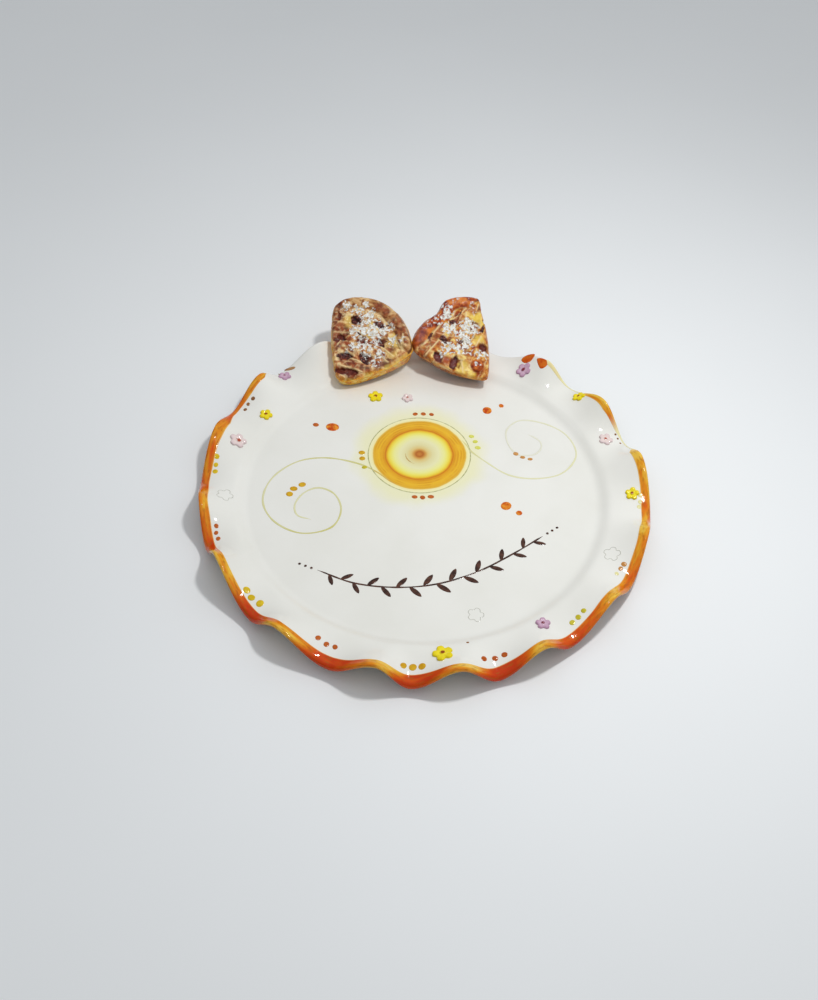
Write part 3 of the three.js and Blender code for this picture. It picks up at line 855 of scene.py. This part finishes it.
def flower_shape(x, y, across, seed):
    """Five flat petals cut from a sheet of clay round a raised button, sunk a little into the glaze."""
    count = 80
    turn = full_turn(count)
    start = np.random.default_rng(seed).uniform(0, 2 * np.pi / 5)
    notch = 0.5 - 0.5 * np.cos(5 * (turn - start))
    rings, reach = [], []
    for share, height in FLOWER_PROFILE:
        groove = notch ** 3 * smoothstep((share - 0.3) / 0.4)
        radius = share * petal_radius(across, turn - start, 0.26 * share)
        lift = FLOWER_RELIEF * (height - 0.3 * groove * (height > 0))
        rings.append(above((x, y) + polar(radius, turn), lift))
        reach += [share] * count
    return skin(np.array(rings)), reach + [1, 0]


def flower_material(colour):
    edge, middle, button = FLOWER_COLOURS[colour]
    glaze = Glaze(f"{colour}_flower_glaze", roughness=0.1)
    reach = glaze.varied(glaze.mark("reach"), glaze.noise(2.5, detail=4), 0.25)
    petals = glaze.ramp(reach, [(0.45, middle), (0.95, edge)])
    spot = glaze.span(reach, 0.16, 0.3, 1, 0)
    return glaze.finish(glaze.mix(spot, petals, button), glaze.noise(1.5), depth=0.08)


def build_flowers():
    materials = {colour: flower_material(colour) for colour in FLOWER_COLOURS}
    for number, (colour, x, y, across) in enumerate(FLOWERS, 1):
        shape, reach = flower_shape(x, y, across, seed=number)
        name = f"flower_{number}_{colour}"
        add_piece(f"glazed_{name}", shape, materials[colour], [name], {"reach": reach})


# ---- the slices of tart


def slice_placement(tart):
    """The matrix that takes a slice's own frame to the plate's, in millimetres."""
    x, y, z = tart["tip"]
    lean = radians(tart["lean_towards"])
    return np.array(
        Matrix.Translation((x, y, WELL_TOP + z))
        @ Matrix.Rotation(lean, 4, "Z")
        @ Matrix.Rotation(-radians(tart["tilt"]), 4, "Y")
        @ Matrix.Rotation(radians(tart["heading"]) - lean, 4, "Z"))


def strip_distances(tart, points):
    """For both families of strips, how far a point is from a strip's middle: 1 at its edge."""
    step_a, step_b = np.array(tart["steps"], float)
    cross = abs(step_a[0] * step_b[1] - step_a[1] * step_b[0])
    shares = (points - tart["hole"]) @ np.linalg.inv(np.array([step_a, step_b]))
    found = []
    for axis, other in ((0, step_b), (1, step_a)):
        spacing = cross / np.linalg.norm(other)
        found.append(np.abs((shares[:, axis] % 1) - 0.5) * spacing / (STRIP_WIDTH / 2))
    return found


def patches(places, points):
    """1, or a fourth value, at the middle of each round patch, falling off round its radius."""
    total = np.zeros(len(points))
    for u, v, radius, *share in places:
        away = np.hypot(points[:, 0] - u, points[:, 1] - v) / radius
        total = np.maximum(total, smoothstep(1.25 - away) * (share or [1])[0])
    return total


def gap_shares(tart, points):
    """How open each point is, 1 in a gap between the strips and 0 on them, and how deep it is sunk."""
    opened, sunk = np.zeros(len(points)), np.zeros(len(points))
    for u, v, length, width, heading in tart["gaps"]:
        along, side = turned(*(points - (u, v)).T, -heading).T
        share = smoothstep((1.25 - np.hypot(2 * along / length, 2 * side / width)) / 0.5)
        opened = np.maximum(opened, share)
        sunk = np.maximum(sunk, share * min(1, width / 5.5))
    return opened, sunk


def crease_shares(tart, points):
    """1 on the fine ridges left along the strips, falling to 0 beside them."""
    total = np.zeros(len(points))
    for u0, v0, u1, v1 in tart["creases"]:
        start, along = np.array([u0, v0]), np.array([u1 - u0, v1 - v0], float)
        share = np.clip((points - start) @ along / (along @ along), 0, 1)
        away = np.linalg.norm(points - start - share[:, None] * along, axis=1)
        ends = smoothstep(np.minimum(share, 1 - share) * 8)
        total = np.maximum(total, np.exp(-(away / CREASE_WIDTH) ** 2) * ends)
    return total


def strip_surface(tart, points, lumps):
    """The plump strips, one family laid over the other and fused to it, and a mask along their edges where
    a highlight is painted.
    """
    first, second = strip_distances(tart, points)
    plump = 1.22 + 0.14 * lumps
    over, below = (base + rise * np.sqrt(np.clip(1 - (away / plump) ** STRIP_ROUNDING, 0, 1))
                   for (base, rise), away in ((OVER_STRIP, first), (BELOW_STRIP, second)))
    strip_edge_highlight = np.exp(-((first - 1.02) / 0.14) ** 2) + 0.7 * np.exp(-((second - 1.02) / 0.14) ** 2)
    return np.maximum(over, below), np.clip(strip_edge_highlight, 0, 1)


def slice_relief(tart, points, inward, crust_share, seed):
    """The height of a slice's top over the strips' level, and the marks that colour it."""
    flat = np.column_stack([points, np.full(len(points), float(seed))])

    def noise(size, step):
        return value_noise(flat, size, seed + step)

    warped = points + WARP * np.column_stack([noise(12, 0), noise(12, 1)])
    fine_warp = FINE_WARP * np.column_stack([noise(2.6, 7), noise(2.6, 8)])
    height, strip_edge_highlight = strip_surface(tart, warped, noise(11, 2))
    opened, sunk = gap_shares(tart, points + fine_warp)
    filling = -LATTICE_DEPTH + 0.5 * noise(3, 3)
    height = height * (1 - sunk) + filling * sunk
    across = (inward - CRUST_WIDTH / 2) / (CRUST_WIDTH / 2)
    roll = np.sqrt(np.clip(1 - across ** 2, 0, 1)) * crust_share
    lumps = 0.35 * noise(7, 4) + tart["crust_lumps"] * noise(2.8, 10)
    crust_top = -0.9 + (tart["crust_height"] + 0.9) * roll + lumps
    crust = smoothstep((crust_share - 0.25) / 0.3) * smoothstep((1.02 - across) / 0.2)
    height = np.where(crust_share > 0.02, np.maximum(height, crust_top), height)
    # Painted shade: groove marks the low places between and under the strips, which are coloured darker.
    groove = smoothstep((-0.45 - height) / 0.9)
    creases = crease_shares(tart, warped)
    height += 0.3 * noise(2.6, 5) + 0.45 * creases
    if tart["rosette"]:
        u, v, radius = tart["rosette"]
        away = np.hypot(points[:, 0] - u, points[:, 1] - v) / radius
        bowl = 1.6 * np.exp(-(away / 0.4) ** 2)
        button = -LATTICE_DEPTH + 5.3 * np.sqrt(np.clip(1 - away ** 4, 0, 1)) - bowl
        height = np.where(away < 1, np.maximum(height, button), height)
        opened = np.where(away < 1.05, 0.5 * np.exp(-(away / 0.35) ** 2), opened)
        crust = np.maximum(crust, smoothstep((1.1 - away) / 0.2))
    sugar_and_glints = patches(tart["sugar_and_glints"], points + 1.6 * fine_warp)
    height += 0.4 * sugar_and_glints * (1 - opened) * noise(1.1, 6)
    marks = {
        "hole": opened * (1 - crust),
        "crust": crust,
        "sugar_and_glints": sugar_and_glints,
        "strip_edge_highlight": strip_edge_highlight * (1 - crust) * (1 - opened),
        "groove": groove * (1 - crust),
        "toast": patches(tart["toast"], warped),
        "honey": patches(tart["honey"], warped),
        "crease": creases * (1 - opened),
    }
    return height, marks


def crust_shares(tart, count):
    """For each outline point, how fully the rolled crust is there: 1 along it, and 0 past its ends."""
    place = np.arange(count) * len(tart["outline"]) / count
    first, last = tart["crust"]
    return smoothstep(np.minimum(place - first, last - place) / 0.5 + 0.5)


def distance_to_outline(points, outline):
    """How far each point lies inside the outline, and the nearest outline point's number."""
    distance = np.empty(len(points))
    nearest = np.empty(len(points), int)
    for start in range(0, len(points), 4000):
        part = slice(start, start + 4000)
        away = np.linalg.norm(points[part, None, :] - outline[None], axis=2)
        nearest[part] = away.argmin(1)
        distance[part] = away.min(1)
    return distance, nearest


def slice_top(tart, outline, centre, seed):
    """Rings of a slice's relief, from its rounded shoulder in, and the marks on them."""
    shares = np.linspace(1, 0.01, TOP_ROWS) ** 0.8
    flat = (centre + shares[:, None, None] * (outline - centre)).reshape(-1, 2)
    inward, nearest = distance_to_outline(flat, outline)
    relief, marks = slice_relief(tart, flat, inward, crust_shares(tart, len(outline))[nearest], seed)
    fall = np.clip(SHOULDER - inward, 0, SHOULDER)
    edge = SHOULDER - np.sqrt(SHOULDER ** 2 - fall ** 2)
    marks["wall"] = 0.5 * smoothstep(1 - inward / (SHOULDER * 0.8))
    return np.column_stack([flat, relief - edge * 0.9]).reshape(TOP_ROWS, -1, 3), marks


def slice_below(tart, outline, centre, rim, holes):
    """Rings from under a slice's middle out and up its wall, and how far down each of them is."""
    length = max(u for u, _ in tart["outline"])
    tip, crust = tart["thickness"]
    under = (length / 2, 0) + (outline - (length / 2, 0)) * tart["footing"]
    outward = outline - centre
    outward /= np.linalg.norm(outward, axis=1, keepdims=True)

    def floor(places):
        return -tip - (crust - tip) * np.clip(places[:, 0] / length, 0, 1)

    rings = []
    for share in np.linspace(0.05, 0.97, BOTTOM_ROWS):
        place = centre + (under - centre) * share
        rings.append(np.column_stack([place, floor(place)]))
    down = np.linspace(1, 0.04, WALL_ROWS)
    for share in down:
        lip = WALL_LIP * (1 - holes) * exp(-((share - 0.12) / 0.13) ** 2)
        swell = lip + WALL_BELLY * sin(pi * share)
        place = outline + (under - outline) * share + outward * swell[:, None]
        rings.append(np.column_stack([place, rim * (1 - share) + floor(under) * share]))
    return np.array(rings), np.append(np.ones(BOTTOM_ROWS), down)


def slice_shape(tart, seed):
    """The whole slice as one closed skin: underside, wall, rounded shoulder and the relief on top."""
    outline = spline(tart["outline"], SLICE_AROUND, closed=True)
    centre = np.array(tart["middle"], float)
    top, marks = slice_top(tart, outline, centre, seed)
    below, down = slice_below(tart, outline, centre, top[0, :, 2], marks["hole"][:SLICE_AROUND])
    vertices, faces = skin(np.concatenate([below, top]))
    matrix = slice_placement(tart)
    vertices = vertices @ matrix[:3, :3].T + matrix[:3, 3]
    hidden = np.zeros(len(down) * SLICE_AROUND)
    marks = {label: np.concatenate([hidden, values, [0, 0]]) for label, values in marks.items()}
    marks["wall"][:len(hidden)] = np.repeat(smoothstep(down * 4 + 0.5), SLICE_AROUND)
    marks["wall"][-2] = 1
    vertices[:, :2] += (0.25 * value_noise(vertices, 5, seed + 9) * marks["wall"])[:, None]
    return (sink_to_plate(vertices), faces), marks


def sink_to_plate(vertices):
    """Lifts what would come through the plate, so that the slice ends just under its glaze."""
    x, y, z = vertices.T
    angle = np.degrees(np.arctan2(y, x))
    edge = PLATE_RADIUS + rim_reach(angle, flute_wave(angle))
    on_plate = np.hypot(x, y) < edge - LIP
    lifted = np.where(on_plate, np.maximum(z, surface(x, y) - SINK), z)
    return np.column_stack([x, y, lifted])


# For each slice: dark, middle and light shades of its parts, and the shades of its marks.
SLICE_COLOURS = {
    "slice_left": {
        "strips": ((128, 56, 24), (190, 122, 66), (240, 212, 156)),
        "wall": ((224, 124, 4), (250, 178, 24), (255, 222, 110)),
        "crust": ((118, 58, 24), (178, 122, 66), (224, 188, 132)),
        "toast": ((90, 28, 10), (150, 66, 28)),
        "honey": (226, 192, 96),
    },
    "slice_right": {
        "strips": ((150, 58, 8), (204, 128, 40), (244, 218, 134)),
        "wall": ((122, 42, 4), (180, 86, 22), (232, 168, 72)),
        "crust": ((96, 22, 0), (160, 56, 2), (220, 128, 44)),
        "toast": ((112, 32, 0), (176, 78, 14)),
        "honey": (236, 204, 76),
    },
}


def slice_material(tart):
    """Painted to look baked: mottled strips, dark filling, toasted patches and speckled sugar, with shade
    painted into the low places and highlights painted along the strips' edges, on the creases and as white
    glints on the crusts.
    """
    colours = SLICE_COLOURS[tart["name"]]
    glaze = Glaze(tart["name"] + "_glaze", gloss=0.36)
    layers = {}
    for label, size in (("strips", 5.5), ("wall", 5), ("crust", 7)):
        dark, middle, light = colours[label]
        mottle = glaze.noise(size, detail=4, distortion=0.6)
        layers[label] = glaze.ramp(mottle, [(0.36, dark), (0.48, middle), (0.62, light)])
    honey = glaze.times(glaze.mark("honey"), 0.8)
    colour = glaze.mix(honey, layers["strips"], colours["honey"])
    # Painted shade: the low places are darkened unevenly towards the toast's dark brown.
    patchy_shade = glaze.span(glaze.noise(5), 0.3, 0.55, 0.2, 0.9)
    colour = glaze.mix(glaze.times(glaze.mark("groove"), patchy_shade), colour, colours["toast"][0])
    crust, wall = glaze.mark("crust"), glaze.mark("wall")
    colour = glaze.mix(wall, colour, layers["wall"])
    colour = glaze.mix(crust, colour, layers["crust"])
    border = glaze.times(glaze.span(wall, 0.15, 0.45), glaze.span(wall, 0.5, 0.9, 1, 0), crust, 0.8)
    colour = glaze.mix(border, colour, (104, 60, 30))
    toasted = glaze.ramp(glaze.noise(4, detail=4), [(0.4, colours["toast"][0]), (0.6, colours["toast"][1])])
    toast = glaze.mark("toast")
    patchy = glaze.span(glaze.noise(6, detail=4), 0.24, 0.46, 0, 0.92)
    colour = glaze.mix(glaze.times(toast, patchy), colour, toasted)
    # Painted highlight: pale lines along the strips' edges and on the ridges of the creases.
    strip_edge_highlight = glaze.times(glaze.mark("strip_edge_highlight"), glaze.span(glaze.noise(4), 0.4, 0.6, 0, 0.6))
    pale = glaze.math("MAXIMUM", strip_edge_highlight, glaze.times(glaze.mark("crease"), 0.9))
    colour = glaze.mix(pale, colour, (240, 212, 154))
    filling = glaze.ramp(glaze.noise(2, detail=4), [
        (0.36, (38, 14, 18)), (0.54, (84, 34, 28)), (0.66, (150, 92, 74))])
    filling = glaze.mix(glaze.times(toast, 0.7), filling, (112, 36, 16))
    gap = glaze.mark("hole")
    ragged = glaze.varied(gap, glaze.noise(1.8, detail=4), 0.8)
    colour = glaze.mix(glaze.span(ragged, 0.3, 0.7), colour, filling)
    # Some of these white specks are painted highlights, glints of light on the crusts.
    dusting_and_glints = glaze.times(glaze.mark("sugar_and_glints"), glaze.span(gap, 0.4, 1.0, 0.74, 0.4))
    grains = glaze.varied(dusting_and_glints, glaze.noise(2.8, detail=5, distortion=0.5), 2.2)
    speckles = glaze.times(glaze.span(grains, 0.4, 0.68), glaze.span(dusting_and_glints, 0.1, 0.4))
    white = [(0.36, (198, 188, 172)), (0.54, (240, 240, 234))]
    colour = glaze.mix(speckles, colour, glaze.ramp(glaze.noise(1.6, detail=3), white))
    relief = glaze.varied(glaze.times(speckles, 0.5), glaze.noise(2.6, detail=3), 1)
    return glaze.finish(colour, relief, depth=0.6, roughness=glaze.span(speckles, 0, 1, 0.05, 0.35))


def build_slices():
    for number, tart in enumerate(SLICES, 1):
        shape, marks = slice_shape(tart, seed=100 * number)
        parts = ["base", "crust", "lattice"] + (["rosette"] if tart["rosette"] else [])
        nodes = [f"{tart['name']}_{part}" for part in parts]
        add_piece(tart["name"] + "_glazed", shape, slice_material(tart), nodes, marks)


# ---- stage, light and camera


# Places of the camera in millimetres, and of the table and the lamp in metres.
CAMERA_PLACE = (-10.44, -528.4, 616.17)
CAMERA_DOWN = 49.58
CAMERA_ROLL = 1.48
PHOTO_LONG_SIDE = 1000
FOCAL_PIXELS = 1000
SENSOR = 36
TABLE_HALF = 3.0
# The room's strength rises from the first value, where a direction's part along BRIGHT_SIDE is
# DIM_BELOW or less, to the second one, where it is 1.
BRIGHT_SIDE = (0.3, 0.1, 0.95)
DIM_BELOW = -0.1
ROOM_STRENGTH = (0.2, 0.8)
ROOM_COLOUR = (240, 243, 247)


def build_camera():
    camera = add_object("camera", bpy.data.cameras.new("camera"))
    camera.data.sensor_width = SENSOR
    camera.data.lens = SENSOR * FOCAL_PIXELS / PHOTO_LONG_SIDE
    down, roll = radians(CAMERA_DOWN), radians(CAMERA_ROLL)
    turn = Matrix.Rotation(pi / 2 - down, 4, "X") @ Matrix.Rotation(roll, 4, "Z")
    camera.matrix_world = Matrix.Translation(Vector(CAMERA_PLACE) * MM) @ turn
    bpy.context.scene.camera = camera


def add_light(name, azimuth, elevation, distance, width, height, power):
    """An area light that faces the plate, at a bearing, a height angle and a distance in metres."""
    light = bpy.data.lights.new(name, "AREA")
    light.shape = "RECTANGLE"
    light.size, light.size_y = width, height
    light.energy = power
    side, up = radians(azimuth), radians(elevation)
    place = distance * Vector((cos(up) * cos(side), cos(up) * sin(side), sin(up)))
    lamp = add_object(name, light)
    lamp.location = place
    lamp.rotation_euler = (-place).to_track_quat("-Z", "Y").to_euler()


def build_table():
    size = TABLE_HALF
    corners = [(-size, -size, 0), (size, -size, 0), (size, size, 0), (-size, size, 0)]
    mesh = bpy.data.meshes.new("table")
    mesh.from_pydata(corners, [], [(0, 1, 2, 3)])
    glaze = Glaze("table_top", roughness=0.6, gloss=0.1)
    shades = [(0.3, (236, 238, 238)), (0.7, (239, 241, 241))]
    mesh.materials.append(glaze.finish(glaze.ramp(glaze.noise(400), shades)))
    add_object("table", mesh)


def build_room():
    """Light from all round, stronger towards BRIGHT_SIDE."""
    world = bpy.data.worlds.new("room")
    world.use_nodes = True
    tree = world.node_tree
    direction = add_node(tree, "TexCoord", {}).outputs["Generated"]
    facing = add_node(tree, "VectorMath", {0: direction, 1: BRIGHT_SIDE}, operation="DOT_PRODUCT")
    strength = add_node(tree, "MapRange", {
        "Value": facing.outputs["Value"], "From Min": DIM_BELOW,
        "To Min": ROOM_STRENGTH[0], "To Max": ROOM_STRENGTH[1]})
    background = tree.nodes["Background"]
    background.inputs["Color"].default_value = paint(*ROOM_COLOUR)
    tree.links.new(strength.outputs["Result"], background.inputs["Strength"])
    bpy.context.scene.world = world


build_camera()
build_plate()
build_band()
build_sun()
build_scrolls()
build_dots()
build_outline_flowers()
build_sprig()
build_flowers()
build_slices()
build_table()
build_room()
add_light("lamp", azimuth=12, elevation=72, distance=0.7, width=0.06, height=0.06, power=2.3)
bpy.context.scene.view_settings.view_transform = "Standard"
